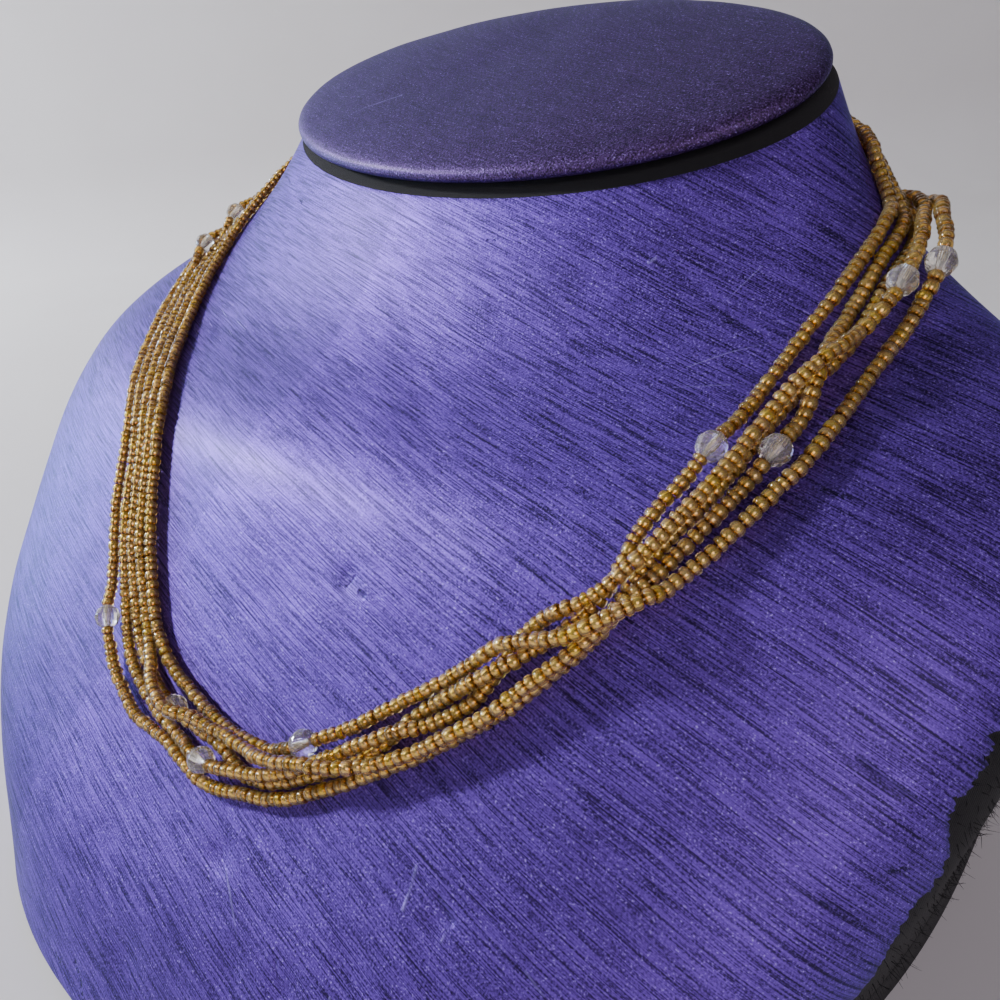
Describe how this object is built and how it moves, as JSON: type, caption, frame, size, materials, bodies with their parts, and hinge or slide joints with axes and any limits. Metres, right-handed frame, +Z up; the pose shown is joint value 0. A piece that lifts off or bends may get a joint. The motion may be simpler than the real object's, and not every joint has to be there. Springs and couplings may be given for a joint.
{
  "type": "multi strand necklace on neck bust",
  "caption": "Necklace of twisted seed bead strands with round cut crystals, worn on a low shouldered neck bust with a tilted oval cap.",
  "frame": {"origin": "under the middle of the object's box, on the surface that the bust stands on", "axes": "+Z up, the bust looks along -Y, +X to its viewer's right"},
  "size_m": [0.2, 0.172, 0.1244],
  "materials": {
    "leatherette": "brushed metallic purple leatherette",
    "cover": "black woven cover",
    "gold_seed": "gold lined transparent amber glass seed beads",
    "crystal": "clear faceted crystal",
    "clasp_metal": "plain gold plated"
  },
  "bodies": {
    "root": {"bust_body": "leatherette", "neck_cap": "leatherette", "base_cover": "cover", "clasp": "clasp_metal", "strand_1": "gold_seed", "strand_2": "gold_seed", "strand_3": "gold_seed", "strand_4": "gold_seed", "strand_5": "gold_seed", "crystal_01": "crystal", "crystal_02": "crystal", "crystal_03": "crystal", "crystal_04": "crystal", "crystal_05": "crystal", "crystal_06": "crystal", "crystal_07": "crystal", "crystal_08": "crystal", "crystal_09": "crystal", "crystal_10": "crystal", "crystal_11": "crystal", "crystal_12": "crystal", "crystal_13": "crystal", "crystal_14": "crystal", "crystal_15": "crystal"}
  },
  "joints": []
}
